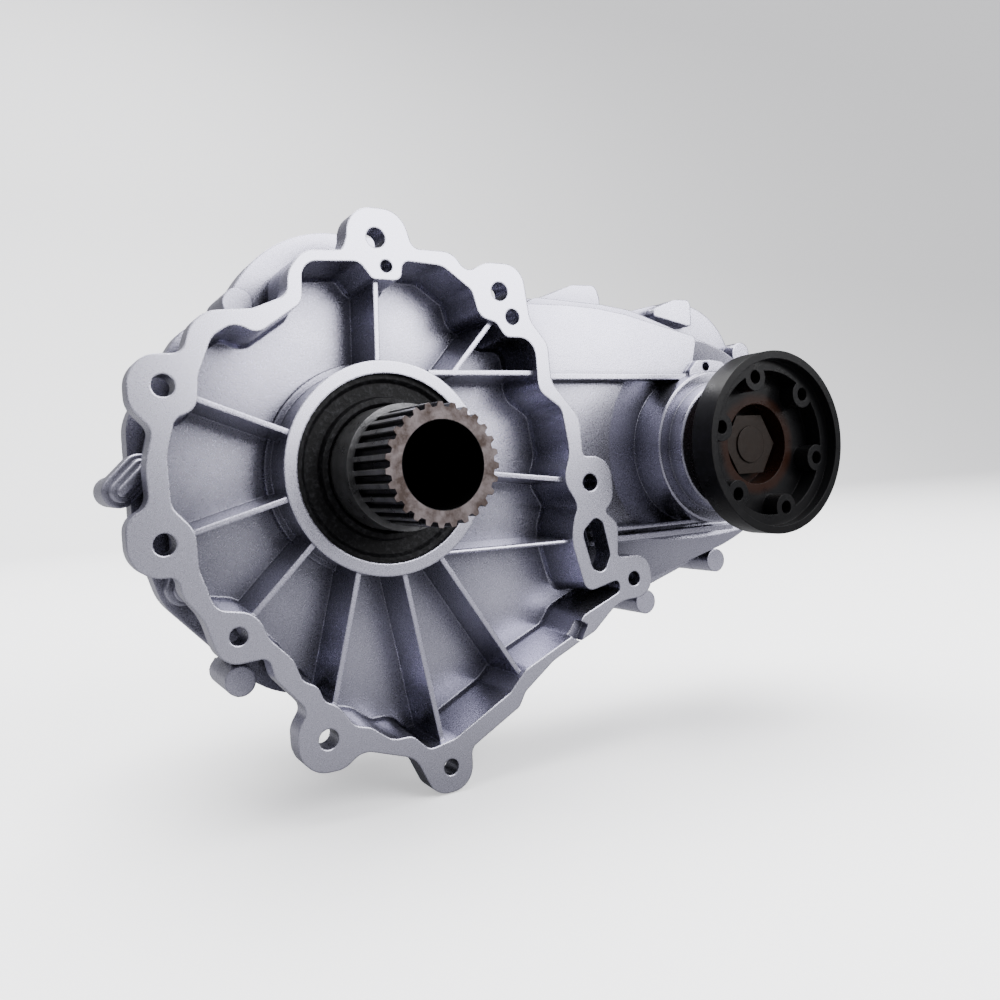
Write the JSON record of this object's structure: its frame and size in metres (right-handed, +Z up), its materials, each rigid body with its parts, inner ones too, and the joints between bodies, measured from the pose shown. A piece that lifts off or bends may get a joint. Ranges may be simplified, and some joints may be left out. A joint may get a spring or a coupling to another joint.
{
  "type": "transfer case",
  "caption": "Transfer case with a ribbed aluminium bell, a splined input shaft, planetary centre differential, chain to a cup-shaped front output flange, and a flanged rear output.",
  "frame": {"origin": "where the input axis meets the machined front face that bolts to the gearbox", "axes": "+X from the input axis towards the front output, +Y to the rear along the input axis, +Z up"},
  "size_m": [0.4795, 0.2848, 0.3277],
  "materials": {
    "cast_aluminium": "satin, as cast",
    "machined_steel": "machined",
    "worn_steel": "oily, worn",
    "bearing_steel": "ground",
    "bronze": "machined",
    "black_rubber": "matte",
    "black_paint": "semi-gloss, rusty inside",
    "zinc_plate": "zinc plated"
  },
  "bodies": {
    "case": {"front_case": "cast_aluminium", "rear_case": "cast_aluminium", "case_bolts": "zinc_plate", "case_dowels": "bearing_steel", "drain_plug": "zinc_plate", "fill_plug": "zinc_plate", "vent": "zinc_plate", "input_seal": "black_rubber", "input_circlip": "machined_steel", "input_bearing_outer": "bearing_steel", "front_output_seal": "black_rubber", "front_bearing_outer": "bearing_steel", "back_bearing_outer": "bearing_steel", "rear_bearing_outer": "bearing_steel", "rear_seal": "black_rubber", "chain": "machined_steel"},
    "front_drive": {"sun_gear": "machined_steel", "needle_bearing": "bearing_steel", "drive_sprocket": "machined_steel"},
    "input": {"input_shaft": "worn_steel", "input_bearing_inner": "bearing_steel", "sun_washer": "bronze", "planet_carrier": "machined_steel", "planet_pins": "bearing_steel"},
    "planet_1": {"planet_gear_1": "machined_steel"},
    "planet_2": {"planet_gear_2": "machined_steel"},
    "planet_3": {"planet_gear_3": "machined_steel"},
    "rear_output": {"ring_gear": "machined_steel", "rear_output_shaft": "machined_steel", "pilot_bush": "bronze", "rear_bearing_inner": "bearing_steel", "rear_flange": "machined_steel", "rear_flange_nut": "zinc_plate"},
    "front_output": {"front_output_shaft": "machined_steel", "driven_sprocket": "machined_steel", "front_bearing_inner": "bearing_steel", "back_bearing_inner": "bearing_steel", "front_flange": "black_paint", "front_flange_nut": "zinc_plate"}
  },
  "joints": [
    {"name": "front_drive_spin", "type": "hinge", "parent": "case", "child": "front_drive", "pos_m": [0, 0.065, 0], "axis": [0, 1, 0], "continuous": true, "deforming": ["chain"]},
    {"name": "differential_spin", "type": "hinge", "parent": "front_drive", "child": "input", "pos_m": [0, 0.1, 0], "axis": [0, 1, 0], "continuous": true},
    {"name": "planet_spin_1", "type": "hinge", "parent": "input", "child": "planet_1", "pos_m": [0, 0.1265, 0.0525], "axis": [0, 1, 0], "continuous": true},
    {"name": "planet_spin_2", "type": "hinge", "parent": "input", "child": "planet_2", "pos_m": [-0.04547, 0.1265, -0.02625], "axis": [0, 1, 0], "continuous": true},
    {"name": "planet_spin_3", "type": "hinge", "parent": "input", "child": "planet_3", "pos_m": [0.04547, 0.1265, -0.02625], "axis": [0, 1, 0], "continuous": true},
    {"name": "rear_output_spin", "type": "hinge", "parent": "input", "child": "rear_output", "pos_m": [0, 0.175, 0], "axis": [0, 1, 0], "continuous": true},
    {"name": "front_output_spin", "type": "hinge", "parent": "case", "child": "front_output", "pos_m": [0.2413, 0.065, 0.0026], "axis": [0, 1, 0], "continuous": true}
  ],
  "couplings": [
    {"joint": "planet_spin_1", "follows": "differential_spin", "ratio": 1.3333},
    {"joint": "planet_spin_2", "follows": "differential_spin", "ratio": 1.3333},
    {"joint": "planet_spin_3", "follows": "differential_spin", "ratio": 1.3333},
    {"joint": "rear_output_spin", "follows": "differential_spin", "ratio": 0.4},
    {"joint": "front_output_spin", "follows": "front_drive_spin", "ratio": 1}
  ]
}
